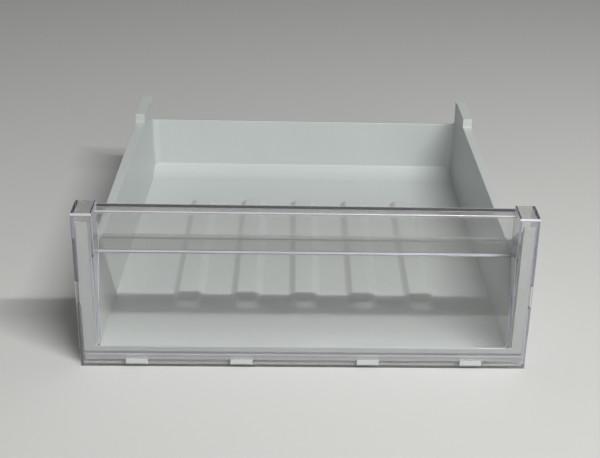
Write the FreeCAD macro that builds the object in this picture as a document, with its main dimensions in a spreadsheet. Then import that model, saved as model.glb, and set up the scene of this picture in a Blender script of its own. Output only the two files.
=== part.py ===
import FreeCAD, Part
import math
import os

import Sketcher

# Freezer drawer: a white moulded tub with a clear front panel snapped over its front flanges.
# Millimetres. +X is right, +Y runs from the front panel to the rear, +Z is up.
# Sketches use Y = 0 at the panel's front face, and each body is then centred on the drawer's depth.

document = FreeCAD.newDocument("freezer_drawer")

# Driving dimensions. Each one is set once, in the sheet, and everything below is bound to it.
OVERALL_SIZES = {
    "drawer_width": 450.0,
    "drawer_height": 170.0,
    "drawer_depth": 471.0,
    "fit_gap": 0.3,
}
TUB_SIZES = {
    "tub_wall": 2.4,
    "skid_height": 5.6,
    "skid_width": 4.0,
    "skid_inset": 39.0,
    "skid_front": 40.0,
    "skid_rear_setback": 60.0,
    "front_inset": 15.6,
    "rear_inset": 23.1,
    "wall_draft": 1.2,
    "corner_radius": 9.0,
    "runner_height": 105.0,
    "runner_front_inset": 6.4,
    "runner_rear_inset": 8.2,
    "runner_start": 85.0,
    "rim_sweep_radius": 420.0,
    "horn_height": 160.0,
    "flange_clearance": 1.0,
    "stop_start": 403.5,
    "stop_rise": 10.4,
    "rear_wall_height": 83.0,
    "rear_notch_radius": 5.0,
    "ramp_length": 30.5,
    "ramp_rise": 11.5,
    "lip_height": 23.0,
    "lip_slope": 2.0,
}
RIB_SIZES = {
    "rib_count": 5,
    "rib_pitch": 64.0,
    "rib_width": 31.0,
    "rib_rise": 5.6,
    "rib_slope": 4.5,
    "rib_start": 103.0,
    "rib_end": 377.0,
    "rib_end_radius": 12.0,
}
JOIN_SIZES = {
    "tongue_width": 22.0,
    "tongue_inner_place": 64.0,
    "tongue_outer_place": 169.0,
    "tongue_bottom": 3.0,
    "tongue_top": 8.7,
    "tongue_recess": 0.4,
    "catch_bottom": 70.0,
    "catch_top": 95.0,
    "catch_reach": 1.8,
    "catch_depth": 7.0,
}
PANEL_SIZES = {
    "panel_wall": 2.6,
    "post_width": 20.2,
    "post_outer_wall": 3.0,
    "post_inner_wall": 2.3,
    "post_foot_depth": 17.0,
    "post_inner_foot_depth": 9.0,
    "post_cap": 2.8,
    "knee_height": 57.0,
    "knee_radius": 80.0,
    "ledge_height": 117.0,
    "recess_depth": 28.1,
    "recess_step": 2.1,
    "ledge_wall": 2.2,
    "ledge_rear": 66.0,
    "bead_setback": 9.6,
    "bead_width": 1.4,
    "bead_height": 1.2,
    "rim_rear_height": 168.0,
    "rim_front_height": 164.2,
    "rim_front": 19.0,
    "rail_height": 16.7,
    "rail_reach": 2.4,
    "foot_reach": 6.4,
    "foot_wall": 2.3,
}

sheet = document.addObject("Spreadsheet::Sheet", "sizes")
row = 0
for section in (OVERALL_SIZES, TUB_SIZES, RIB_SIZES, JOIN_SIZES, PANEL_SIZES):
    for alias, value in section.items():
        row += 1
        sheet.set(f"A{row}", alias)
        sheet.set(f"B{row}", str(value))
        sheet.setAlias(f"B{row}", alias)
document.recompute()


def size(alias):
    """Return the expression that reads one driving dimension from the sheet."""
    return f"sizes.{alias}"


def number(expression):
    """Return the present value of an expression, in millimetres or degrees."""
    return float(sheet.evalExpression(expression))


# Places that follow from the driving dimensions, as expressions.
TAN_DRAFT = "tan(sizes.wall_draft * 1deg)"
CUT_SPARE = "5"
FLOOR_UNDER = size("skid_height")
FLOOR_TOP = f"({FLOOR_UNDER} + sizes.tub_wall)"
TUB_FRONT = "(sizes.panel_wall + sizes.fit_gap)"
TUB_REBATE = f"({TUB_FRONT} + sizes.rail_reach)"
CAVITY_FRONT = f"({TUB_REBATE} + sizes.tub_wall)"
TUB_REAR = size("drawer_depth")
CAVITY_REAR = f"({TUB_REAR} - sizes.tub_wall)"
REBATE_TOP = "(sizes.rail_height + sizes.fit_gap)"
FLANGE_REAR = f"({TUB_FRONT} + sizes.tub_wall)"
STOP_HEIGHT = "(sizes.runner_height + sizes.stop_rise)"
HALF_WIDTH = "(sizes.drawer_width / 2)"
POST_INSIDE = f"({HALF_WIDTH} - sizes.post_width)"
POST_INNER_FACE = f"({POST_INSIDE} + sizes.post_inner_wall)"
POST_OUTER_FACE = f"({HALF_WIDTH} - sizes.post_outer_wall)"
FLANGE_HALF_WIDTH = f"({POST_OUTER_FACE} - sizes.flange_clearance)"
RUNNER_FRONT = f"({HALF_WIDTH} - sizes.runner_front_inset)"
RUNNER_REAR = f"({HALF_WIDTH} - sizes.runner_rear_inset)"
REAR_NOTCH = f"({HALF_WIDTH} - sizes.rear_inset + sizes.tub_wall / 2)"


def half_width(place, wall, height):
    """Return the tub's half width at the front or rear, at a height, with or without its wall."""
    thickness = "sizes.tub_wall" if wall else "0"
    return f"({HALF_WIDTH} - sizes.{place}_inset + {thickness} + ({height} - {FLOOR_TOP}) * {TAN_DRAFT})"


def new_body(label):
    """Start the body of one sub-part, centred on the drawer's depth."""
    body = document.addObject("PartDesign::Body", label)
    body.Label = label
    body.setExpression("Placement.Base.y", "-sizes.drawer_depth / 2")
    return body


def origin_plane(body, role):
    """Return one of the body's own origin planes."""
    for feature in body.Origin.OriginFeatures:
        if feature.Role == role:
            return feature
    raise ValueError(role)


def new_sketch(body, name, role, offset):
    """Attach an empty sketch to an origin plane, moved along the plane's normal by an expression."""
    sketch = body.newObject("Sketcher::SketchObject", name)
    sketch.AttachmentSupport = [(origin_plane(body, role), "")]
    sketch.MapMode = "FlatFace"
    sketch.setExpression("AttachmentOffset.Base.z", offset)
    return sketch


def bind_point(sketch, line, end, corner):
    """Hold one end of a line at a corner given as two expressions from the sketch's origin."""
    across, along = corner
    index = sketch.addConstraint(Sketcher.Constraint("DistanceX", -1, 1, line, end, number(across)))
    sketch.setExpression(f"Constraints[{index}]", across)
    index = sketch.addConstraint(Sketcher.Constraint("DistanceY", -1, 1, line, end, number(along)))
    sketch.setExpression(f"Constraints[{index}]", along)


def add_corner_arc(sketch, points, step, radius):
    """Draw the arc that rounds one corner; return its index and its arriving and leaving ends."""
    corner = points[step]
    back = (points[step - 1] - corner).normalize()
    ahead = (points[(step + 1) % len(points)] - corner).normalize()
    half_turn = back.getAngle(ahead) / 2
    reach = number(radius)
    centre = corner + (back + ahead).normalize() * (reach / math.sin(half_turn))
    arriving = corner + back * (reach / math.tan(half_turn))
    leaving = corner + ahead * (reach / math.tan(half_turn))
    turns_left = back.cross(ahead).z < 0
    ends = (arriving, leaving) if turns_left else (leaving, arriving)
    angles = [math.atan2(end.y - centre.y, end.x - centre.x) for end in ends]
    circle = Part.Circle(centre, FreeCAD.Vector(0, 0, 1), reach)
    index = sketch.addGeometry(Part.ArcOfCircle(circle, *angles), False)
    constraint = sketch.addConstraint(Sketcher.Constraint("Radius", index, reach))
    sketch.setExpression(f"Constraints[{constraint}]", radius)
    arriving_end, leaving_end = (1, 2) if turns_left else (2, 1)
    return (index, arriving_end, leaving_end), arriving, leaving


def add_outline(sketch, corners, radii=None):
    """Draw a closed outline through bound corners and round each corner that is given a radius."""
    points = [FreeCAD.Vector(number(across), number(along), 0) for across, along in corners]
    arrivals = list(points)
    departures = list(points)
    arcs = {}
    for step, radius in (radii or {}).items():
        arcs[step], arrivals[step], departures[step] = add_corner_arc(sketch, points, step, radius)
    lines = []
    for step in range(len(points)):
        line = Part.LineSegment(departures[step], arrivals[(step + 1) % len(points)])
        lines.append(sketch.addGeometry(line, False))
    for step, corner in enumerate(corners):
        before = lines[step - 1]
        after = lines[step]
        if step not in arcs:
            sketch.addConstraint(Sketcher.Constraint("Coincident", before, 2, after, 1))
            bind_point(sketch, after, 1, corner)
            continue
        arc, arriving_end, leaving_end = arcs[step]
        sketch.addConstraint(Sketcher.Constraint("Tangent", before, 2, arc, arriving_end))
        sketch.addConstraint(Sketcher.Constraint("Tangent", arc, leaving_end, after, 1))
        virtual_corner = sketch.addGeometry(Part.Point(points[step]), True)
        bind_point(sketch, virtual_corner, 1, corner)
        sketch.addConstraint(Sketcher.Constraint("PointOnObject", virtual_corner, 1, before))
        sketch.addConstraint(Sketcher.Constraint("PointOnObject", virtual_corner, 1, after))


def rectangle(left, right, bottom, top):
    """Return the corners of an upright rectangle."""
    return [(left, bottom), (right, bottom), (right, top), (left, top)]


def symmetric(half, bottom, top):
    """Return the corners of a rectangle centred across the drawer."""
    return rectangle(f"-{half}", half, bottom, top)


def extrude(body, kind, name, sketch, length, midplane=False, reversed_way=False):
    """Pad or pocket a sketch by a length given as an expression."""
    feature = body.newObject(f"PartDesign::{kind}", name)
    feature.Profile = sketch
    feature.setExpression("Length", length)
    feature.Midplane = midplane
    feature.Reversed = reversed_way
    body.Tip = feature
    return feature


def loft(body, kind, name, first, second):
    """Add or take away the straight-sided solid between two sketches."""
    feature = body.newObject(f"PartDesign::{kind}", name)
    feature.Profile = first
    feature.Sections = [second]
    feature.Ruled = True
    body.Tip = feature
    return feature


def trapezoid(front, rear, front_half, rear_half):
    """Return the corners of a plan outline that narrows from front to rear."""
    return [(f"-{front_half}", front), (front_half, front), (rear_half, rear), (f"-{rear_half}", rear)]


def plan_sketch(body, name, height, corners, radii=None):
    """Draw a plan outline at a height."""
    sketch = new_sketch(body, name, "XY_Plane", height)
    add_outline(sketch, corners, radii)
    return sketch


def side_sketch(body, name, place, *outlines):
    """Draw side outlines, depth across and height up, on a plane at a place across the drawer."""
    sketch = new_sketch(body, name, "YZ_Plane", place)
    for corners in outlines:
        add_outline(sketch, corners)
    return sketch


def front_sketch(body, name, place, *outlines):
    """Draw front outlines, width across and height up, on a plane at a place along the drawer's depth."""
    sketch = new_sketch(body, name, "XZ_Plane", f"-{place}")
    for corners in outlines:
        add_outline(sketch, corners)
    return sketch


def add_tub_plan(sketch, front, rear, height, wall):
    """Draw the tub's plan at a height, inside or outside its wall, with rounded rear corners."""
    corners = trapezoid(front, rear, half_width("front", wall, height), half_width("rear", wall, height))
    radius = "(sizes.corner_radius + sizes.tub_wall)" if wall else size("corner_radius")
    add_outline(sketch, corners, {2: radius, 3: radius})


def tub_loft(body, kind, name, front, rear, bottom, top, wall):
    """Add or cut the drafted block between two of the tub's plans."""
    sketches = []
    for level, height in (("base", bottom), ("mouth", top)):
        sketch = new_sketch(body, f"{name}_{level}", "XY_Plane", height)
        add_tub_plan(sketch, front, rear, height, wall)
        sketches.append(sketch)
    loft(body, kind, name, *sketches)


# The rim's side profile: flat along the runner, swept up in an arc to the horn behind each post.
ARC_BACK = f"(sizes.runner_start - {FLANGE_REAR})"
ARC_RISE = "(sizes.horn_height - sizes.runner_height)"
RADIUS = size("rim_sweep_radius")


def arc_centre():
    """Return the centre of the rim's swept arc, above and behind it."""
    back = number(ARC_BACK)
    rise = number(ARC_RISE)
    chord = math.hypot(back, rise)
    reach = math.sqrt(number(RADIUS) ** 2 - (chord / 2) ** 2)
    middle = (number(FLANGE_REAR) + back / 2, number("sizes.runner_height") + rise / 2)
    return FreeCAD.Vector(middle[0] + reach * rise / chord, middle[1] + reach * back / chord, 0)


def add_arc(sketch, centre, radius, start, end):
    """Draw an arc from its upper front end to its lower rear end and bind its radius."""
    circle = Part.Circle(centre, FreeCAD.Vector(0, 0, 1), number(radius))
    angles = [math.atan2(point.y - centre.y, point.x - centre.x) for point in (start, end)]
    index = sketch.addGeometry(Part.ArcOfCircle(circle, angles[0], angles[1]), False)
    constraint = sketch.addConstraint(Sketcher.Constraint("Radius", index, number(radius)))
    sketch.setExpression(f"Constraints[{constraint}]", radius)
    return index


def add_chain(sketch, corners):
    """Draw an open run of straight lines through bound corners and return its first and last line."""
    points = [FreeCAD.Vector(number(across), number(along), 0) for across, along in corners]
    first = sketch.GeometryCount
    for step in range(len(points) - 1):
        sketch.addGeometry(Part.LineSegment(points[step], points[step + 1]), False)
        bind_point(sketch, first + step, 1, corners[step])
        if step:
            sketch.addConstraint(Sketcher.Constraint("Coincident", first + step - 1, 2, first + step, 1))
    return first, first + len(points) - 2


def rim_top():
    """Return the straight stretch of the rim's top from the sweep's foot to the rear."""
    return [
        (size("runner_start"), size("runner_height")),
        (size("stop_start"), size("runner_height")),
        (size("stop_start"), STOP_HEIGHT),
        (TUB_REAR, STOP_HEIGHT),
    ]


def cut_above_rim(body):
    """Cut the side walls down to the rim's profile."""
    sketch = new_sketch(body, "above_rim", "YZ_Plane", "0")
    centre = arc_centre()
    top = f"(sizes.horn_height + {CUT_SPARE})"
    corners = rim_top()[:-1] + [
        (f"({TUB_REAR} + {CUT_SPARE})", STOP_HEIGHT),
        (f"({TUB_REAR} + {CUT_SPARE})", top),
        (FLANGE_REAR, top),
        (FLANGE_REAR, size("horn_height")),
    ]
    first, last = add_chain(sketch, corners)
    bind_point(sketch, last, 2, corners[-1])
    start = FreeCAD.Vector(number(FLANGE_REAR), number("sizes.horn_height"), 0)
    end = FreeCAD.Vector(number("sizes.runner_start"), number("sizes.runner_height"), 0)
    arc = add_arc(sketch, centre, RADIUS, start, end)
    sketch.addConstraint(Sketcher.Constraint("Coincident", last, 2, arc, 1))
    sketch.addConstraint(Sketcher.Constraint("Coincident", arc, 2, first, 1))
    width = f"2 * ({FLANGE_HALF_WIDTH} + {CUT_SPARE})"
    extrude(body, "Pocket", "rim_profile", sketch, width, midplane=True)


def add_rim(body):
    """Add the outward rim: front flange, swept rim, runner and raised stop, one wall thick."""
    sketch = new_sketch(body, "rim_section", "YZ_Plane", "0")
    centre = arc_centre()
    wall = "sizes.tub_wall"
    upper = [(TUB_FRONT, REBATE_TOP), (TUB_FRONT, size("horn_height")), (FLANGE_REAR, size("horn_height"))]
    first_upper, last_upper = add_chain(sketch, upper)
    bind_point(sketch, last_upper, 2, upper[-1])
    outer_start = FreeCAD.Vector(number(FLANGE_REAR), number("sizes.horn_height"), 0)
    outer_end = FreeCAD.Vector(number("sizes.runner_start"), number("sizes.runner_height"), 0)
    outer = add_arc(sketch, centre, RADIUS, outer_start, outer_end)
    under = f"(sizes.runner_height - {wall})"
    radius = f"({RADIUS} + {wall})"
    reach = number(radius)
    end_y = centre.x - math.sqrt(reach ** 2 - (centre.y - number(under)) ** 2)
    start_z = centre.y - math.sqrt(reach ** 2 - (centre.x - number(FLANGE_REAR)) ** 2)
    inner_start = FreeCAD.Vector(number(FLANGE_REAR), start_z, 0)
    inner_end = FreeCAD.Vector(end_y, number(under), 0)
    runner = rim_top() + [
        (TUB_REAR, f"({STOP_HEIGHT} - {wall})"),
        (f"(sizes.stop_start + {wall})", f"({STOP_HEIGHT} - {wall})"),
        (f"(sizes.stop_start + {wall})", under),
    ]
    first_runner, last_runner = add_chain(sketch, runner)
    bind_point(sketch, last_runner, 2, runner[-1])
    runner_end = FreeCAD.Vector(number(runner[-1][0]), number(under), 0)
    back = sketch.addGeometry(Part.LineSegment(runner_end, inner_end))
    inner = add_arc(sketch, centre, radius, inner_start, inner_end)
    foot = [
        (FLANGE_REAR, f"({REBATE_TOP} + {wall})"),
        (CAVITY_FRONT, f"({REBATE_TOP} + {wall})"),
        (CAVITY_FRONT, FLOOR_UNDER),
        (TUB_REBATE, FLOOR_UNDER),
        (TUB_REBATE, REBATE_TOP),
        (TUB_FRONT, REBATE_TOP),
    ]
    foot_start = FreeCAD.Vector(number(foot[0][0]), number(foot[0][1]), 0)
    drop = sketch.addGeometry(Part.LineSegment(inner_start, foot_start))
    first_foot, last_foot = add_chain(sketch, foot)
    joins = [
        (last_upper, 2, outer, 1), (outer, 2, first_runner, 1), (last_runner, 2, back, 1),
        (back, 2, inner, 2), (inner, 1, drop, 1), (drop, 2, first_foot, 1),
        (last_foot, 2, first_upper, 1), (inner, 3, outer, 3),
    ]
    for join in joins:
        sketch.addConstraint(Sketcher.Constraint("Coincident", *join))
    sketch.addConstraint(Sketcher.Constraint("Horizontal", back))
    sketch.addConstraint(Sketcher.Constraint("Vertical", drop))
    extrude(body, "Pad", "rim", sketch, f"2 * {FLANGE_HALF_WIDTH}", midplane=True)


def trim_runners(body):
    """Trim the rim's outer edges to the runners' straight, slightly tapered lines."""
    outside = f"({FLANGE_HALF_WIDTH} + {CUT_SPARE})"
    rear = f"({TUB_REAR} + {CUT_SPARE})"
    sketch = new_sketch(body, "runner_trim_plan", "XY_Plane", "0")
    for sign in ("", "-"):
        corners = [
            (f"{sign}{RUNNER_FRONT}", CAVITY_FRONT),
            (f"{sign}{outside}", CAVITY_FRONT),
            (f"{sign}{outside}", rear),
            (f"{sign}{RUNNER_REAR}", rear),
        ]
        add_outline(sketch, corners)
    extrude(body, "Pocket", "runner_trim", sketch, f"sizes.horn_height + {CUT_SPARE}", reversed_way=True)


def open_front(body):
    """Lower the front wall to the lip between the side walls and slope the lip's top to the inside."""
    outline = [
        (f"({TUB_FRONT} - {CUT_SPARE})", size("lip_height")),
        (FLANGE_REAR, size("lip_height")),
        (CAVITY_FRONT, "(sizes.lip_height - sizes.lip_slope)"),
        (CAVITY_FRONT, f"(sizes.horn_height + {CUT_SPARE})"),
        (f"({TUB_FRONT} - {CUT_SPARE})", f"(sizes.horn_height + {CUT_SPARE})"),
    ]
    sketch = side_sketch(body, "front_opening_side", "0", outline)
    width = f"2 * {half_width('front', False, 'sizes.lip_height')}"
    extrude(body, "Pocket", "front_opening", sketch, width, midplane=True)


def lower_rear_wall(body):
    """Notch the rear wall below the side walls and round the notch where it meets them."""
    sketch = new_sketch(body, "rear_notch_front", "XZ_Plane", f"-({TUB_REAR} + {CUT_SPARE})")
    outline = symmetric(REAR_NOTCH, size("rear_wall_height"), f"({STOP_HEIGHT} + {CUT_SPARE})")
    radius = size("rear_notch_radius")
    add_outline(sketch, outline, {0: radius, 1: radius})
    depth = f"(sizes.corner_radius + sizes.tub_wall + {CUT_SPARE})"
    extrude(body, "Pocket", "rear_notch", sketch, depth, reversed_way=True)


def ramp_floor(body):
    """Ramp the floor up to the rear wall, one wall thick, inside and underneath."""
    start = f"({CAVITY_REAR} - sizes.ramp_length)"
    inside = [
        (start, FLOOR_TOP),
        (f"({CAVITY_REAR} + sizes.tub_wall / 2)", FLOOR_TOP),
        (f"({CAVITY_REAR} + sizes.tub_wall / 2)", f"({FLOOR_TOP} + sizes.ramp_rise)"),
        (CAVITY_REAR, f"({FLOOR_TOP} + sizes.ramp_rise)"),
    ]
    sketch = side_sketch(body, "ramp_side", "0", inside)
    extrude(body, "Pad", "ramp", sketch, f"2 * {REAR_NOTCH}", midplane=True)
    grade = "(sizes.ramp_rise / sizes.ramp_length)"
    beyond = f"({TUB_REAR} + {CUT_SPARE})"
    below = f"({FLOOR_UNDER} - {CUT_SPARE})"
    under = [
        (f"({start} - {CUT_SPARE} / {grade})", below),
        (beyond, below),
        (beyond, f"({FLOOR_UNDER} + ({beyond} - {start}) * {grade})"),
    ]
    sketch = side_sketch(body, "ramp_relief_side", "0", under)
    extrude(body, "Pocket", "ramp_relief", sketch, f"2 * {FLANGE_HALF_WIDTH}", midplane=True)


def ridge_sketch(body, name, height, place, inset):
    """Draw one floor ridge's rounded plan outline at a height, drawn in from its base by an inset."""
    half = f"(sizes.rib_width / 2 - {inset})"
    corners = rectangle(
        f"({place} - {half})",
        f"({place} + {half})",
        f"(sizes.rib_start + {inset})",
        f"(sizes.rib_end - {inset})",
    )
    radius = f"(sizes.rib_end_radius - {inset})"
    return plan_sketch(body, name, height, corners, dict.fromkeys(range(len(corners)), radius))


def add_ribs(body):
    """Raise the floor ridges and hollow them underneath, so that the floor keeps one thickness."""
    top = f"({FLOOR_TOP} + sizes.rib_rise)"
    hollow_top = f"({top} - sizes.tub_wall)"
    slope = size("rib_slope")
    skin = "(sizes.tub_wall / 2)"
    deep = f"({skin} + {slope})"
    for index in range(round(number("sizes.rib_count"))):
        place = f"(({index} - (sizes.rib_count - 1) / 2) * sizes.rib_pitch)"
        base = ridge_sketch(body, f"ridge_base_{index}", FLOOR_TOP, place, "0")
        crown = ridge_sketch(body, f"ridge_crown_{index}", top, place, slope)
        loft(body, "AdditiveLoft", f"ridge_{index}", base, crown)
        mouth = ridge_sketch(body, f"hollow_mouth_{index}", FLOOR_UNDER, place, skin)
        roof = ridge_sketch(body, f"hollow_roof_{index}", hollow_top, place, deep)
        loft(body, "SubtractiveLoft", f"hollow_{index}", mouth, roof)


def add_skids(body):
    """Add the two rails underneath that the tub stands and slides on."""
    outlines = []
    for side in ("-", ""):
        middle = f"({side}({HALF_WIDTH} - sizes.skid_inset))"
        left = f"({middle} - sizes.skid_width / 2)"
        right = f"({middle} + sizes.skid_width / 2)"
        outlines.append(rectangle(left, right, "0", f"({FLOOR_UNDER} + sizes.tub_wall / 2)"))
    sketch = front_sketch(body, "skid_section", size("skid_front"), *outlines)
    length = f"{TUB_REAR} - sizes.skid_rear_setback - sizes.skid_front"
    extrude(body, "Pad", "skids", sketch, length, reversed_way=True)


TONGUE_PLACES = [
    "(-sizes.tongue_outer_place)",
    "(-sizes.tongue_inner_place)",
    size("tongue_inner_place"),
    size("tongue_outer_place"),
]


def tongue_outlines(gap):
    """Return the front outlines of the four tongues, or of their windows when a gap is given."""
    outlines = []
    for place in TONGUE_PLACES:
        half = f"(sizes.tongue_width / 2 + {gap})"
        bottom = f"(sizes.tongue_bottom - {gap})"
        top = f"(sizes.tongue_top + {gap})"
        outlines.append(rectangle(f"({place} - {half})", f"({place} + {half})", bottom, top))
    return outlines


def add_tongues(body):
    """Add the tongues that reach forward through the panel's bottom rail."""
    root = f"({TUB_REBATE} + sizes.tub_wall / 2)"
    sketch = front_sketch(body, "tongue_section", root, *tongue_outlines("0"))
    extrude(body, "Pad", "tongues", sketch, f"{root} - sizes.tongue_recess")


def add_catches(body):
    """Add the wedge on each front flange that snaps into the post's window."""
    sketch = new_sketch(body, "catch_plan", "XY_Plane", size("catch_bottom"))
    for sign in ("", "-"):
        root = f"{sign}({FLANGE_HALF_WIDTH} - sizes.tub_wall)"
        corners = [
            (root, TUB_FRONT),
            (f"{sign}({POST_OUTER_FACE} + sizes.catch_reach)", TUB_FRONT),
            (root, f"({TUB_FRONT} + sizes.catch_depth)"),
        ]
        add_outline(sketch, corners)
    extrude(body, "Pad", "catches", sketch, "sizes.catch_top - sizes.catch_bottom")


def build_tub():
    """Build the white tub."""
    body = new_body("tub")
    mouth = f"(sizes.horn_height + {CUT_SPARE})"
    tub_loft(body, "AdditiveLoft", "shell", TUB_REBATE, TUB_REAR, FLOOR_UNDER, size("horn_height"), True)
    add_rim(body)
    cut_above_rim(body)
    trim_runners(body)
    tub_loft(body, "SubtractiveLoft", "cavity", CAVITY_FRONT, CAVITY_REAR, FLOOR_TOP, mouth, False)
    open_front(body)
    lower_rear_wall(body)
    ramp_floor(body)
    add_ribs(body)
    add_skids(body)
    add_tongues(body)
    add_catches(body)
    return body


# Places of the clear panel that follow from its sizes.
RECESS_FRONT = "(sizes.recess_depth - sizes.recess_step)"
RECESS_REAR = "(sizes.recess_depth + sizes.panel_wall)"
LEAN = f"({RECESS_FRONT} / (sizes.ledge_height - sizes.knee_height))"
LEAN_WALL = f"(sizes.panel_wall * sqrt(1 + {LEAN} ^ 2))"
RIM_GRADE = f"((sizes.rim_rear_height - sizes.rim_front_height) / ({RECESS_REAR} - sizes.rim_front))"
LEDGE_UNDER = "(sizes.ledge_height - sizes.ledge_wall)"
RAIL_BACK = f"({TUB_REBATE} - sizes.fit_gap)"
RAIL_UNDER = "(sizes.rail_height - sizes.panel_wall)"
FOOT_BACK = "(sizes.panel_wall + sizes.foot_reach)"
PANEL_TOP = size("drawer_height")


def pane_outline():
    """Return the pane's side outline, from its foot to its top rim and back, and its knee's two radii."""
    bead_rear = "(sizes.ledge_rear - sizes.bead_setback)"
    bead_front = f"({bead_rear} - sizes.bead_width)"
    bead_top = "(sizes.ledge_height + sizes.bead_height)"
    rim_under = f"(sizes.rim_rear_height - sizes.panel_wall * {RIM_GRADE} - sizes.panel_wall)"
    ledge = size("ledge_height")
    front_knee = ("0", size("knee_height"))
    rear_knee = (size("panel_wall"), f"(sizes.knee_height + (sizes.panel_wall - {LEAN_WALL}) / {LEAN})")
    outline = [
        ("0", "0"),
        front_knee,
        (RECESS_FRONT, ledge),
        (size("recess_depth"), ledge),
        (size("recess_depth"), rim_under),
        (size("rim_front"), "(sizes.rim_front_height - sizes.panel_wall)"),
        (size("rim_front"), size("rim_front_height")),
        (RECESS_REAR, size("rim_rear_height")),
        (RECESS_REAR, ledge),
        (bead_front, ledge),
        (bead_front, bead_top),
        (bead_rear, bead_top),
        (bead_rear, ledge),
        (size("ledge_rear"), ledge),
        (size("ledge_rear"), LEDGE_UNDER),
        (f"({RECESS_FRONT} - sizes.ledge_wall * {LEAN} + {LEAN_WALL})", LEDGE_UNDER),
        rear_knee,
        (size("panel_wall"), size("rail_height")),
        (RAIL_BACK, size("rail_height")),
        (RAIL_BACK, RAIL_UNDER),
        (size("panel_wall"), RAIL_UNDER),
        (size("panel_wall"), size("foot_wall")),
        (FOOT_BACK, size("foot_wall")),
        (FOOT_BACK, "0"),
    ]
    knees = {
        outline.index(front_knee): size("knee_radius"),
        outline.index(rear_knee): "(sizes.knee_radius - sizes.panel_wall)",
    }
    return outline, knees


def post_side(foot_depth, bottom):
    """Return a post wall's side outline: deep behind the recess, then leaning forward with the pane."""
    return [
        ("0", bottom),
        ("0", PANEL_TOP),
        (RECESS_REAR, PANEL_TOP),
        (RECESS_REAR, size("ledge_height")),
        (f"sizes.{foot_depth}", size("knee_height")),
        (f"sizes.{foot_depth}", bottom),
    ]


def add_posts(body):
    """Add the U-section post at each side: front wall, two side walls and a closed top."""
    front_outlines = []
    cap_outlines = []
    for left, right in ((f"-{HALF_WIDTH}", f"-{POST_INSIDE}"), (POST_INSIDE, HALF_WIDTH)):
        front_outlines.append(rectangle(left, right, "0", PANEL_TOP))
        cap_outlines.append(rectangle(left, right, "0", RECESS_REAR))
    front = front_sketch(body, "post_front", "0", *front_outlines)
    extrude(body, "Pad", "post_fronts", front, size("panel_wall"), reversed_way=True)
    outer_side = post_side("post_foot_depth", "0")
    inner_side = post_side("post_inner_foot_depth", "(sizes.lip_height + sizes.fit_gap)")
    for side, sign, inward in (("right", "", True), ("left", "-", False)):
        sketch = side_sketch(body, f"{side}_outer_wall_side", f"{sign}{HALF_WIDTH}", outer_side)
        extrude(body, "Pad", f"{side}_outer_wall", sketch, size("post_outer_wall"), reversed_way=inward)
        sketch = side_sketch(body, f"{side}_inner_wall_side", f"{sign}{POST_INNER_FACE}", inner_side)
        extrude(body, "Pad", f"{side}_inner_wall", sketch, size("post_inner_wall"), reversed_way=inward)
    cap = new_sketch(body, "post_cap_plan", "XY_Plane", PANEL_TOP)
    for corners in cap_outlines:
        add_outline(cap, corners)
    extrude(body, "Pad", "post_caps", cap, size("post_cap"), reversed_way=True)


def cut_catch_windows(body):
    """Cut the window in each post's outer wall that the tub's catch snaps into."""
    outline = rectangle(
        size("panel_wall"),
        f"({TUB_FRONT} + sizes.catch_depth + sizes.fit_gap)",
        "(sizes.catch_bottom - sizes.fit_gap)",
        "(sizes.catch_top + sizes.fit_gap)",
    )
    for side, sign, outward in (("right", "", False), ("left", "-", True)):
        sketch = side_sketch(body, f"{side}_window_side", f"{sign}{HALF_WIDTH}", outline)
        extrude(body, "Pocket", f"{side}_window", sketch, size("post_outer_wall"), reversed_way=outward)


def build_front_panel():
    """Build the clear front panel."""
    body = new_body("front_panel")
    pane = new_sketch(body, "pane_side", "YZ_Plane", "0")
    outline, knees = pane_outline()
    add_outline(pane, outline, knees)
    extrude(body, "Pad", "pane", pane, f"2 * {POST_INNER_FACE}", midplane=True)
    rail = side_sketch(
        body,
        "rail_side",
        "0",
        rectangle("0", RAIL_BACK, RAIL_UNDER, size("rail_height")),
        rectangle("0", FOOT_BACK, "0", size("foot_wall")),
    )
    extrude(body, "Pad", "rail", rail, size("drawer_width"), midplane=True)
    add_posts(body)
    cut_catch_windows(body)
    windows = front_sketch(body, "tongue_windows_front", "0", *tongue_outlines("sizes.fit_gap"))
    extrude(body, "Pocket", "tongue_windows", windows, size("panel_wall"))
    return body


def check_model(bodies):
    """Stop if any object failed or any sub-part has no single valid solid."""
    for item in document.Objects:
        if "Invalid" in item.State or "Error" in item.State:
            raise RuntimeError(f"{item.Name} failed: {item.State}")
    for body in bodies:
        shape = body.Shape
        if shape.isNull() or not shape.isValid() or len(shape.Solids) != 1:
            raise RuntimeError(f"{body.Label} is not one valid solid")


sub_parts = [build_tub(), build_front_panel()]
document.recompute()
check_model(sub_parts)
os.makedirs("parts", exist_ok=True)
for sub_part in sub_parts:
    sub_part.Shape.exportStep(f"parts/{sub_part.Label}.step")
    box = sub_part.Shape.BoundBox
    print(sub_part.Label, round(sub_part.Shape.Volume), box)
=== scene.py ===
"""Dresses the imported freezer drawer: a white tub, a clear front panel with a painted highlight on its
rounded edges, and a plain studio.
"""

from __future__ import annotations

import logging
import math
from collections.abc import Callable
from dataclasses import dataclass, field
from enum import Enum

import bmesh
import bpy
from mathutils import Matrix, Vector


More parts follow.
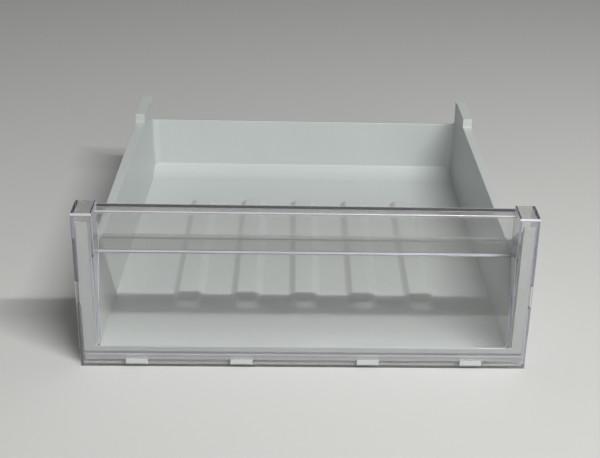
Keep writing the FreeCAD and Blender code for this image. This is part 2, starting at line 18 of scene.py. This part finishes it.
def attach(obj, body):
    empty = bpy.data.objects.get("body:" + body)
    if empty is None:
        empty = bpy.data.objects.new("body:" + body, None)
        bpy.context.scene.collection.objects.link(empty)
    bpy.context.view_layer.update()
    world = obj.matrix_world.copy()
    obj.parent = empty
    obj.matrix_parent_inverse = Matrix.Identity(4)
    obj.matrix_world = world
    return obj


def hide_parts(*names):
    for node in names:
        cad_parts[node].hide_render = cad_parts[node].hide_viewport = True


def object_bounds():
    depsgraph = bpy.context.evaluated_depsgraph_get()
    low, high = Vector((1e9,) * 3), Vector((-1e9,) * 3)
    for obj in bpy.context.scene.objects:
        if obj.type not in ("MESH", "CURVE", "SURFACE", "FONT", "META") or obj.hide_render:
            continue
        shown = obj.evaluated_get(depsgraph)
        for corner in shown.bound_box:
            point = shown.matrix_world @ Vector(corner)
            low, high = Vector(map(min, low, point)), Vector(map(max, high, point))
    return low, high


LOG = logging.getLogger("freezer_drawer")
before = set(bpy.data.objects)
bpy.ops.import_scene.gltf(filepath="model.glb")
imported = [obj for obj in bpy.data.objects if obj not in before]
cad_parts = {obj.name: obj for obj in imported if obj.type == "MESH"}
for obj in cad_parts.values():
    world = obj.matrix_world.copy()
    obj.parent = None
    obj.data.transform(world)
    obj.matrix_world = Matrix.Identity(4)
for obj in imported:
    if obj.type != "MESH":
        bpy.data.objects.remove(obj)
CAD_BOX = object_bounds()

BODY = "root"
MM = 0.001
FRONT = CAD_BOX[0].y
SAME_LEVEL = 0.05 * MM
WELD_GAP = 0.01 * MM
FLAT_ANGLE = math.radians(0.4)
SHARP_EDGE = math.radians(24)
FLAT_FACE_WEIGHT = 100
FLAT_FACE_SPREAD = 0.01
QUARTER_TURN = 90
NONE_TO_ALL = (0.0, 1.0)
Colour = tuple[float, float, float, float]

# A display's tone curve, straight below its bend and a power above it.
DISPLAY_TOP = 255
CURVE_BEND = 0.04045
CURVE_SLOPE = 12.92
CURVE_LIFT = 0.055
CURVE_POWER = 2.4


class Slot(Enum):
    """The record's material slots."""

    WHITE = "white_plastic"
    CLEAR = "clear_plastic"


def srgb(red: float, green: float, blue: float) -> Colour:
    """Turn an 8-bit display colour into a linear one.

    Args:
        red: Red, 0 to 255.
        green: Green, 0 to 255.
        blue: Blue, 0 to 255.

    Returns:
        The linear colour with full alpha.
    """
    linear = []
    for value in (red, green, blue):
        share = value / DISPLAY_TOP
        if share <= CURVE_BEND:
            linear.append(share / CURVE_SLOPE)
        else:
            linear.append(((share + CURVE_LIFT) / (1 + CURVE_LIFT)) ** CURVE_POWER)
    return (linear[0], linear[1], linear[2], 1.0)


class NodeBench:
    """Adds and joins the nodes of one material."""

    def __init__(self, name: str) -> None:
        """Start a node material.

        Args:
            name: The material's name.
        """
        self.material = bpy.data.materials.new(name)
        self.material.use_nodes = True
        self.tree = self.material.node_tree
        self.shader = self.tree.nodes["Principled BSDF"]
        self.output = self.tree.nodes["Material Output"]
        self.place = self.tree.nodes.new("ShaderNodeTexCoord").outputs["Object"]

    def link(self, source: bpy.types.NodeSocket, target: bpy.types.NodeSocket) -> None:
        """Join an output to an input."""
        self.tree.links.new(source, target)

    def noise(self, scale: float, detail: float) -> bpy.types.NodeSocket:
        """Add a noise over the piece.

        Args:
            scale: Its scale, per metre.
            detail: Its octaves.

        Returns:
            Its value.
        """
        node = self.tree.nodes.new("ShaderNodeTexNoise")
        node.inputs["Scale"].default_value = scale
        node.inputs["Detail"].default_value = detail
        self.link(self.place, node.inputs["Vector"])
        return node.outputs["Fac"]

    def spread(
        self, value: bpy.types.NodeSocket, source: tuple[float, float], target: tuple[float, float]
    ) -> bpy.types.NodeSocket:
        """Map a value from one range to another.

        Args:
            value: The value.
            source: Its range.
            target: The range wanted.

        Returns:
            The mapped value.
        """
        node = self.tree.nodes.new("ShaderNodeMapRange")
        node.inputs["From Min"].default_value, node.inputs["From Max"].default_value = source
        node.inputs["To Min"].default_value, node.inputs["To Max"].default_value = target
        self.link(value, node.inputs["Value"])
        return node.outputs["Result"]

    def distance(self, axis: str) -> bpy.types.NodeSocket:
        """Add the place of each point along an axis.

        Args:
            axis: The axis, X, Y or Z.

        Returns:
            The distance from the origin in metres, with its sign.
        """
        node = self.tree.nodes.new("ShaderNodeSeparateXYZ")
        self.link(self.place, node.inputs["Vector"])
        return node.outputs[axis]

    def product(self, first: bpy.types.NodeSocket, second: bpy.types.NodeSocket) -> bpy.types.NodeSocket:
        """Multiply two values.

        Args:
            first: The first value.
            second: The second value.

        Returns:
            Their product.
        """
        node = self.tree.nodes.new("ShaderNodeMath")
        node.operation = "MULTIPLY"
        self.link(first, node.inputs[0])
        self.link(second, node.inputs[1])
        return node.outputs["Value"]

    def blend(self, share: bpy.types.NodeSocket, first: Colour, second: Colour) -> bpy.types.NodeSocket:
        """Blend two colours.

        Args:
            share: The second colour's share.
            first: The first colour.
            second: The second colour.

        Returns:
            The blended colour.
        """
        node = self.tree.nodes.new("ShaderNodeMix")
        node.data_type = "RGBA"
        node.inputs["A"].default_value = first
        node.inputs["B"].default_value = second
        self.link(share, node.inputs["Factor"])
        return node.outputs["Result"]

    def bump(self, value: bpy.types.NodeSocket, strength: float, distance: float) -> None:
        """Bump the surface by a value.

        Args:
            value: The height value.
            strength: The bump's strength.
            distance: The bump's height in metres.
        """
        node = self.tree.nodes.new("ShaderNodeBump")
        node.inputs["Strength"].default_value = strength
        node.inputs["Distance"].default_value = distance
        self.link(value, node.inputs["Height"])
        self.link(node.outputs["Normal"], self.shader.inputs["Normal"])


@dataclass(frozen=True)
class WhitePlastic:
    """Opaque light grey-white polystyrene with a soft gloss and a faint moulded grain."""

    dark_tone: Colour = srgb(192, 197, 196)
    light_tone: Colour = srgb(198, 203, 201)
    roughness: tuple[float, float] = (0.30, 0.42)
    refraction: float = 1.59
    flow_scale: float = 9.0
    flow_detail: float = 3.0
    flow_range: tuple[float, float] = (0.3, 0.7)
    grain_scale: float = 900.0
    grain_detail: float = 2.0
    grain_strength: float = 0.35
    grain_height: float = 0.02 * MM

    def material(self) -> bpy.types.Material:
        """Build the finish.

        Returns:
            The node material.
        """
        bench = NodeBench("white_plastic")
        bench.shader.inputs["IOR"].default_value = self.refraction
        flow = bench.noise(self.flow_scale, self.flow_detail)
        tone = bench.blend(flow, self.dark_tone, self.light_tone)
        bench.link(tone, bench.shader.inputs["Base Color"])
        gloss = bench.spread(flow, self.flow_range, self.roughness)
        bench.link(gloss, bench.shader.inputs["Roughness"])
        grain = bench.noise(self.grain_scale, self.grain_detail)
        bench.bump(grain, self.grain_strength, self.grain_height)
        return bench.material


@dataclass(frozen=True)
class ClearPlastic:
    """Clear polystyrene: polished below, hazier round the finger recess, violet-grey seen edge on."""

    name: str = "clear_plastic"
    colour: Colour = (0.84, 0.845, 0.81, 1.0)
    clearness: float = 0.95
    refraction: float = 1.59
    polished: float = 0.015
    hazy: float = 0.07
    haze_heights: tuple[float, float] = (110 * MM, 118 * MM)
    recess_depths: tuple[float, float] = (FRONT + 10 * MM, FRONT + 14 * MM)
    depth_colour: Colour = (0.34, 0.28, 0.68, 1.0)
    depth_density: float = 24.0
    low_shadow: Colour = (0.72, 0.72, 0.71, 1.0)
    high_shadow: Colour = (0.42, 0.42, 0.42, 1.0)

    def material(self) -> bpy.types.Material:
        """Build the finish.

        Returns:
            The node material.
        """
        bench = NodeBench(self.name)
        upper = bench.spread(bench.distance("Z"), self.haze_heights, NONE_TO_ALL)
        bench.shader.inputs["Base Color"].default_value = self.colour
        bench.shader.inputs["IOR"].default_value = self.refraction
        bench.shader.inputs["Transmission Weight"].default_value = self.clearness
        haze = bench.spread(upper, NONE_TO_ALL, (self.polished, self.hazy))
        bench.link(haze, bench.shader.inputs["Roughness"])
        depth = bench.tree.nodes.new("ShaderNodeVolumeAbsorption")
        depth.inputs["Color"].default_value = self.depth_colour
        depth.inputs["Density"].default_value = self.depth_density
        bench.link(depth.outputs["Volume"], bench.output.inputs["Volume"])
        inner = bench.spread(bench.distance("Y"), self.recess_depths, NONE_TO_ALL)
        self.let_light_through(bench, bench.product(upper, inner))
        return bench.material

    def let_light_through(self, bench: NodeBench, recess: bpy.types.NodeSocket) -> None:
        """Let the lamps shine through the panel, less so round the recess.

        Args:
            bench: The material's nodes.
            recess: The share of the recess at each point.
        """
        rays = bench.tree.nodes.new("ShaderNodeLightPath")
        passing = bench.tree.nodes.new("ShaderNodeBsdfTransparent")
        bench.link(bench.blend(recess, self.low_shadow, self.high_shadow), passing.inputs["Color"])
        mix = bench.tree.nodes.new("ShaderNodeMixShader")
        bench.link(rays.outputs["Is Shadow Ray"], mix.inputs["Fac"])
        bench.link(bench.shader.outputs["BSDF"], mix.inputs[1])
        bench.link(passing.outputs["BSDF"], mix.inputs[2])
        bench.link(mix.outputs["Shader"], bench.output.inputs["Surface"])


# The panel's rounded edges get a whiter, less clear plastic than the pane: a painted highlight along its
# edges. The violet depth tint seen edge on is the plastic's own.
PAINTED_HIGHLIGHT_EDGES = ClearPlastic(
    name="clear_plastic_painted_highlight_edges",
    colour=srgb(230, 230, 235),
    clearness=0.4,
    polished=0.12,
    hazy=0.14,
)


def welded_copy(node: str, name: str) -> bpy.types.Object:
    """Copy a moulding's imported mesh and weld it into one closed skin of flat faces.

    Args:
        node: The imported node's name.
        name: The new piece's name.

    Returns:
        The new piece, linked to the scene at the origin.
    """
    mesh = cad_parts[node].data.copy()
    mesh.name = name
    mesh.materials.clear()
    skin = bmesh.new()
    skin.from_mesh(mesh)
    bmesh.ops.remove_doubles(skin, verts=skin.verts, dist=WELD_GAP)
    bmesh.ops.dissolve_limit(
        skin, angle_limit=FLAT_ANGLE, verts=skin.verts, edges=skin.edges, delimit={"NORMAL"}
    )
    skin.to_mesh(mesh)
    skin.free()
    piece = bpy.data.objects.new(name, mesh)
    bpy.context.scene.collection.objects.link(piece)
    return piece


def shade_smooth(piece: bpy.types.Object) -> None:
    """Shade every face of a piece smooth."""
    for face in piece.data.polygons:
        face.use_smooth = True


def round_edges(
    piece: bpy.types.Object, width: float, segments: int, share: Callable[[Vector, Vector], float]
) -> None:
    """Round a moulding's sharp edges and keep its large faces flat in the light.

    The roundings get the last of the piece's materials.

    Args:
        piece: The piece to round.
        width: The widest rounding in metres.
        segments: The number of faces across the rounding.
        share: Gives the share of the width that the edge between two points gets.
    """
    skin = bmesh.new()
    skin.from_mesh(piece.data)
    weight = skin.edges.layers.float.new("bevel_weight_edge")
    for edge in skin.edges:
        if edge.calc_face_angle(0.0) > SHARP_EDGE:
            edge[weight] = share(edge.verts[0].co, edge.verts[1].co)
    skin.to_mesh(piece.data)
    skin.free()
    bevel = piece.modifiers.new("moulded_edges", "BEVEL")
    bevel.width = width
    bevel.segments = segments
    bevel.limit_method = "WEIGHT"
    bevel.use_clamp_overlap = False
    bevel.material = len(piece.data.materials) - 1
    shade_smooth(piece)
    flat = piece.modifiers.new("flat_faces", "WEIGHTED_NORMAL")
    flat.mode = "FACE_AREA"
    flat.weight = FLAT_FACE_WEIGHT
    flat.thresh = FLAT_FACE_SPREAD


class CopyRow:
    """A node tree that sets copies of a mesh out in a row across the drawer."""

    def __init__(self, name: str) -> None:
        """Build the tree.

        Args:
            name: The tree's name.
        """
        self.tree = bpy.data.node_groups.new(name, "GeometryNodeTree")
        face = self.tree.interface
        face.new_socket("Geometry", in_out="INPUT", socket_type="NodeSocketGeometry")
        self.count = face.new_socket("Count", in_out="INPUT", socket_type="NodeSocketInt")
        self.pitch = face.new_socket("Pitch", in_out="INPUT", socket_type="NodeSocketFloat")
        self.material = face.new_socket("Material", in_out="INPUT", socket_type="NodeSocketMaterial")
        face.new_socket("Geometry", in_out="OUTPUT", socket_type="NodeSocketGeometry")
        self.wire()

    def wire(self) -> None:
        """Join the nodes from the row of points to the finished mesh."""
        nodes = self.tree.nodes
        links = self.tree.links
        given = nodes.new("NodeGroupInput")
        result = nodes.new("NodeGroupOutput")
        row = nodes.new("GeometryNodeMeshLine")
        step = nodes.new("ShaderNodeCombineXYZ")
        gaps = nodes.new("ShaderNodeMath")
        gaps.operation = "SUBTRACT"
        gaps.inputs[1].default_value = 1.0
        span = nodes.new("ShaderNodeMath")
        span.operation = "MULTIPLY"
        half = nodes.new("ShaderNodeMath")
        half.operation = "MULTIPLY"
        half.inputs[1].default_value = -0.5
        start = nodes.new("ShaderNodeCombineXYZ")
        copies = nodes.new("GeometryNodeInstanceOnPoints")
        real = nodes.new("GeometryNodeRealizeInstances")
        dress = nodes.new("GeometryNodeSetMaterial")
        joins = [
            (given.outputs["Count"], gaps.inputs[0]),
            (gaps.outputs["Value"], span.inputs[0]),
            (given.outputs["Pitch"], span.inputs[1]),
            (span.outputs["Value"], half.inputs[0]),
            (half.outputs["Value"], start.inputs["X"]),
            (given.outputs["Pitch"], step.inputs["X"]),
            (given.outputs["Count"], row.inputs["Count"]),
            (start.outputs["Vector"], row.inputs["Start Location"]),
            (step.outputs["Vector"], row.inputs["Offset"]),
            (row.outputs["Mesh"], copies.inputs["Points"]),
            (given.outputs["Geometry"], copies.inputs["Instance"]),
            (copies.outputs["Instances"], real.inputs["Geometry"]),
            (real.outputs["Geometry"], dress.inputs["Geometry"]),
            (given.outputs["Material"], dress.inputs["Material"]),
            (dress.outputs["Geometry"], result.inputs["Geometry"]),
        ]
        for source, target in joins:
            links.new(source, target)

    def lay_out(
        self, name: str, mesh: bpy.types.Mesh, count: int, pitch: float, material: bpy.types.Material
    ) -> bpy.types.Object:
        """Set out the copies and turn them into one plain mesh.

        Args:
            name: The new piece's name.
            mesh: The mesh to repeat.
            count: The number of copies.
            pitch: The distance between them in metres.
            material: Their material.

        Returns:
            The new piece, linked to the scene at the origin.
        """
        piece = bpy.data.objects.new(name, mesh)
        bpy.context.scene.collection.objects.link(piece)
        modifier = piece.modifiers.new("row", "NODES")
        modifier.node_group = self.tree
        modifier[self.count.identifier] = count
        modifier[self.pitch.identifier] = pitch
        modifier[self.material.identifier] = material
        graph = bpy.context.evaluated_depsgraph_get()
        plain = bpy.data.meshes.new_from_object(piece.evaluated_get(graph), depsgraph=graph)
        piece.modifiers.remove(modifier)
        piece.data = plain
        plain.name = name
        shade_smooth(piece)
        return piece


def smooth_step(share: float) -> float:
    """Return the share eased in and out, from 0 to 1."""
    share = min(max(share, 0.0), 1.0)
    return share * share * (3 - 2 * share)


def rounded_ring(
    half_width: float, front: float, rear: float, radius: float, arc_steps: int
) -> list[tuple[float, float]]:
    """Return the points of a rounded rectangle, anticlockwise seen from above.

    Args:
        half_width: Half its width.
        front: Its front edge.
        rear: Its rear edge.
        radius: Its corners' radius.
        arc_steps: The number of lines across a corner.

    Returns:
        The points, with the same number at each corner.
    """
    side = half_width - radius
    centres = [
        (side, front + radius, -QUARTER_TURN),
        (side, rear - radius, 0),
        (-side, rear - radius, QUARTER_TURN),
        (-side, front + radius, 2 * QUARTER_TURN),
    ]
    points = []
    for across, along, first in centres:
        for step in range(arc_steps + 1):
            angle = math.radians(first + QUARTER_TURN * step / arc_steps)
            points.append((across + radius * math.cos(angle), along + radius * math.sin(angle)))
    return points


@dataclass
class FloorRidges:
    """The soft moulded ridges along the tub's floor, as a thin skin over their solids."""

    row: CopyRow
    count: int = 5
    pitch: float = 64 * MM
    width: float = 31 * MM
    front: float = FRONT + 103 * MM
    rear: float = FRONT + 377 * MM
    end_radius: float = 12 * MM
    slope: float = 6.5 * MM
    flare: float = 2.0 * MM
    floor: float = 8 * MM
    rise: float = 5.7 * MM
    skin: float = 0.8 * MM
    flank_steps: int = 14
    arc_steps: int = 8

    def ring(self, inset: float) -> list[tuple[float, float]]:
        """Draw the ridge's outline, seen from above.

        Args:
            inset: How far it is drawn in from the ridge's foot, in metres.

        Returns:
            The outline's points.
        """
        return rounded_ring(
            self.width / 2 - inset,
            self.front + inset,
            self.rear - inset,
            self.end_radius - inset,
            self.arc_steps,
        )

    def mesh(self) -> bpy.types.Mesh:
        """Build one ridge's closed skin.

        Returns:
            The mesh, with an eased flank all round and a flat crown.
        """
        shell = bmesh.new()
        sides = []
        for drop in (0.0, self.skin):
            rings = []
            for step in range(self.flank_steps + 1):
                share = step / self.flank_steps
                inset = share * (self.slope + self.flare) - self.flare
                level = self.floor + self.rise * smooth_step(share) - drop
                rings.append([shell.verts.new((x, y, level)) for x, y in self.ring(inset)])
            sides.append(rings)
        top, under = sides
        count = len(top[0])
        for rings, flip in ((top, False), (under, True)):
            for low, high in zip(rings, rings[1:]):
                for index in range(count):
                    after = (index + 1) % count
                    corners = [low[index], low[after], high[after], high[index]]
                    shell.faces.new(corners[::-1] if flip else corners)
            shell.faces.new(rings[-1][::-1] if flip else rings[-1])
        for index in range(count):
            after = (index + 1) % count
            shell.faces.new((under[0][index], under[0][after], top[0][after], top[0][index]))
        mesh = bpy.data.meshes.new("floor_ridge")
        shell.to_mesh(mesh)
        shell.free()
        return mesh

    def build(self, material: bpy.types.Material) -> bpy.types.Object:
        """Lay out the ridges on the tub's floor.

        Args:
            material: The tub's white plastic.

        Returns:
            The finished piece.
        """
        piece = self.row.lay_out("floor_ridges", self.mesh(), self.count, self.pitch, material)
        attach(piece, BODY)
        return piece


@dataclass
class Tub:
    """The white tub: one moulding with its rims, ridged floor, lip and tongues."""

    long_round: float = 0.9 * MM
    short_round: float = 0.5 * MM
    foot_round: float = 0.12 * MM
    foot_rear: float = FRONT + 14 * MM
    foot_top: float = 20 * MM
    long_edge: float = 200 * MM
    crown_height: float = 13.6 * MM
    crown_sink: float = 1.3 * MM
    catch_face: float = 223.8 * MM
    catch_sink: float = 1.8 * MM
    round_steps: int = 3
    finish: WhitePlastic = field(default_factory=WhitePlastic)

    def sink_crowns(self, piece: bpy.types.Object) -> None:
        """Sink the flat crowns of the floor ridges below their smooth skin.

        Args:
            piece: The tub's copied moulding.
        """
        for vertex in piece.data.vertices:
            if abs(vertex.co.z - self.crown_height) < SAME_LEVEL:
                vertex.co.z -= self.crown_sink

    def sink_catches(self, piece: bpy.types.Object) -> None:
        """Sink the faces of the two snap catches into the posts' windows.

        Args:
            piece: The tub's copied moulding.
        """
        for vertex in piece.data.vertices:
            if abs(abs(vertex.co.x) - self.catch_face) < SAME_LEVEL:
                vertex.co.x -= math.copysign(self.catch_sink, vertex.co.x)

    def edge_share(self, first: Vector, second: Vector) -> float:
        """Choose the share of the long rounding that an edge gets.

        Args:
            first: One end of the edge.
            second: Its other end.

        Returns:
            The share, 1 for a long edge across the drawer.
        """
        if max(first.y, second.y) < self.foot_rear and max(first.z, second.z) < self.foot_top:
            return self.foot_round / self.long_round
        across = abs(first.x - second.x) > self.long_edge
        return 1.0 if across else self.short_round / self.long_round

    def build(self) -> list[bpy.types.Object]:
        """Build and dress the tub's moulding.

        Returns:
            The finished pieces.
        """
        material = self.finish.material()
        piece = welded_copy("tub", "tub_moulding")
        piece.data.materials.append(material)
        self.sink_crowns(piece)
        self.sink_catches(piece)
        round_edges(piece, self.long_round, self.round_steps, self.edge_share)
        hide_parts("tub")
        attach(piece, BODY)
        return [piece, FloorRidges(CopyRow("ridge_row")).build(material)]


@dataclass
class FrontPanel:
    """The clear front panel: pane, finger recess, ledge, rail and posts in one moulding."""

    post_round: float = 2.0 * MM
    rim_round: float = 0.8 * MM
    rim_rear_round: float = 1.8 * MM
    long_round: float = 0.5 * MM
    short_round: float = 0.3 * MM
    rail_round: float = 0.06 * MM
    long_edge: float = 200 * MM
    post_top: float = 165 * MM
    rim_level: float = 158 * MM
    rim_middle: float = FRONT + 25 * MM
    rail_top: float = 14 * MM
    bead_rear: float = FRONT + 57 * MM
    bead_front: float = FRONT + 54 * MM
    round_steps: int = 3
    finish: ClearPlastic = field(default_factory=ClearPlastic)
    edge_painted_highlight: ClearPlastic = PAINTED_HIGHLIGHT_EDGES

    def edge_width(self, first: Vector, second: Vector) -> float:
        """Choose the width of the rounding that an edge gets, and so the width of its painted highlight.

        Args:
            first: One end of the edge.
            second: Its other end.

        Returns:
            The width in metres.
        """
        in_front = max(first.y, second.y) < FRONT + self.short_round
        if in_front and min(first.z, second.z) > self.post_top:
            return self.post_round
        if max(first.z, second.z) < self.rail_top:
            return self.rail_round
        across = abs(first.x - second.x) > self.long_edge
        on_bead = self.bead_front < first.y < self.bead_rear
        if not across or on_bead:
            return self.short_round
        if first.z < self.rim_level:
            return self.long_round
        return self.rim_rear_round if first.y > self.rim_middle else self.rim_round

    def edge_share(self, first: Vector, second: Vector) -> float:
        """Return the share of the posts' rounding that the edge between two points gets."""
        return self.edge_width(first, second) / self.post_round

    def build(self) -> list[bpy.types.Object]:
        """Build and dress the panel's moulding.

        Returns:
            The finished pieces.
        """
        piece = welded_copy("front_panel", "front_panel_moulding")
        piece.data.materials.append(self.finish.material())
        # The roundings take this whiter plastic: a painted highlight on the panel's edges.
        piece.data.materials.append(self.edge_painted_highlight.material())
        round_edges(piece, self.post_round, self.round_steps, self.edge_share)
        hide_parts("front_panel")
        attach(piece, BODY)
        return [piece]


@dataclass
class Studio:
    """A pale floor, a long key lamp from the upper front, soft fill and the camera."""

    camera_place: tuple[float, float, float] = (-0.0149, -1.2332, 0.6593)
    camera_yaw: float = 2.90
    camera_pitch: float = 24.90
    camera_roll: float = 2.00
    focal_length: float = 69.85
    sensor_width: float = 36.0
    camera_shift: tuple[float, float] = (-0.0762, -0.0598)
    floor_size: float = 12.0
    floor_drop: float = 0.2 * MM
    floor_colour: Colour = srgb(203, 203, 200)
    floor_roughness: float = 0.9
    floor_shine: float = 0.1
    lamp_place: tuple[float, float, float] = (0.80, -1.31, 1.98)
    lamp_size: tuple[float, float] = (1.3, 0.06)
    lamp_power: float = 55.0
    fill_place: tuple[float, float, float] = (0.6, -3.2, 1.0)
    fill_size: tuple[float, float] = (2.4, 1.6)
    fill_power: float = 22.0
    sky_colour: Colour = (1.0, 1.0, 1.0, 1.0)
    sky_strength: float = 0.14

    def build(self) -> None:
        """Build the whole studio."""
        self.lay_floor()
        self.hang_lamp("key_lamp", self.lamp_place, self.lamp_size, self.lamp_power)
        fill = self.hang_lamp("fill_lamp", self.fill_place, self.fill_size, self.fill_power)
        fill.visible_glossy = False
        fill.visible_transmission = False
        self.light_sky()
        self.set_camera()
        bpy.context.scene.view_settings.view_transform = "Standard"

    def lay_floor(self) -> None:
        """Lay the pale floor under the drawer."""
        level = CAD_BOX[0].z - self.floor_drop
        bpy.ops.mesh.primitive_plane_add(size=self.floor_size, location=(0.0, 0.0, level))
        floor = bpy.context.object
        floor.name = "studio_floor"
        bench = NodeBench("studio_floor")
        bench.shader.inputs["Base Color"].default_value = self.floor_colour
        bench.shader.inputs["Roughness"].default_value = self.floor_roughness
        bench.shader.inputs["Specular IOR Level"].default_value = self.floor_shine
        floor.data.materials.append(bench.material)

    def hang_lamp(
        self, name: str, place: tuple[float, float, float], size: tuple[float, float], power: float
    ) -> bpy.types.Object:
        """Hang a rectangular lamp that faces the drawer, its length across it.

        Args:
            name: The lamp's name.
            place: Its middle.
            size: Its length and width in metres.
            power: Its power in watts.

        Returns:
            The hung lamp.
        """
        lamp = bpy.data.lights.new(name, "AREA")
        lamp.shape = "RECTANGLE"
        lamp.size, lamp.size_y = size
        lamp.energy = power
        holder = bpy.data.objects.new(name, lamp)
        away = Vector(place).normalized()
        across = Vector((1.0, 0.0, 0.0))
        across = (across - away * across.dot(away)).normalized()
        turn = Matrix((across, away.cross(across), away)).transposed()
        holder.matrix_world = Matrix.Translation(place) @ turn.to_4x4()
        bpy.context.scene.collection.objects.link(holder)
        return holder

    def light_sky(self) -> None:
        """Light the sky evenly white."""
        world = bpy.data.worlds.new("studio_sky")
        world.use_nodes = True
        background = world.node_tree.nodes["Background"]
        background.inputs["Color"].default_value = self.sky_colour
        background.inputs["Strength"].default_value = self.sky_strength
        bpy.context.scene.world = world

    def set_camera(self) -> None:
        """Place the camera at the photograph's viewing angle."""
        yaw = math.radians(self.camera_yaw)
        pitch = math.radians(self.camera_pitch)
        roll = math.radians(self.camera_roll)
        ahead = Vector((math.sin(yaw) * math.cos(pitch), math.cos(yaw) * math.cos(pitch), -math.sin(pitch)))
        level = Vector((math.cos(yaw), -math.sin(yaw), 0.0))
        above = level.cross(ahead)
        right = level * math.cos(roll) + above * math.sin(roll)
        up = above * math.cos(roll) - level * math.sin(roll)
        lens = bpy.data.cameras.new("studio_camera")
        lens.sensor_width = self.sensor_width
        lens.lens = self.focal_length
        lens.shift_x, lens.shift_y = self.camera_shift
        camera = bpy.data.objects.new("studio_camera", lens)
        turn = Matrix((right, up, -ahead)).transposed()
        camera.matrix_world = Matrix.Translation(self.camera_place) @ turn.to_4x4()
        bpy.context.scene.collection.objects.link(camera)
        bpy.context.scene.camera = camera


def main() -> None:
    """Build every part of the scene in order."""
    logging.basicConfig(level=logging.INFO, format="%(message)s")
    for part in (Tub(), FrontPanel()):
        for piece in part.build():
            LOG.info("%s: %d faces", piece.name, len(piece.data.polygons))
    Studio().build()


if __name__ == "__main__":
    main()
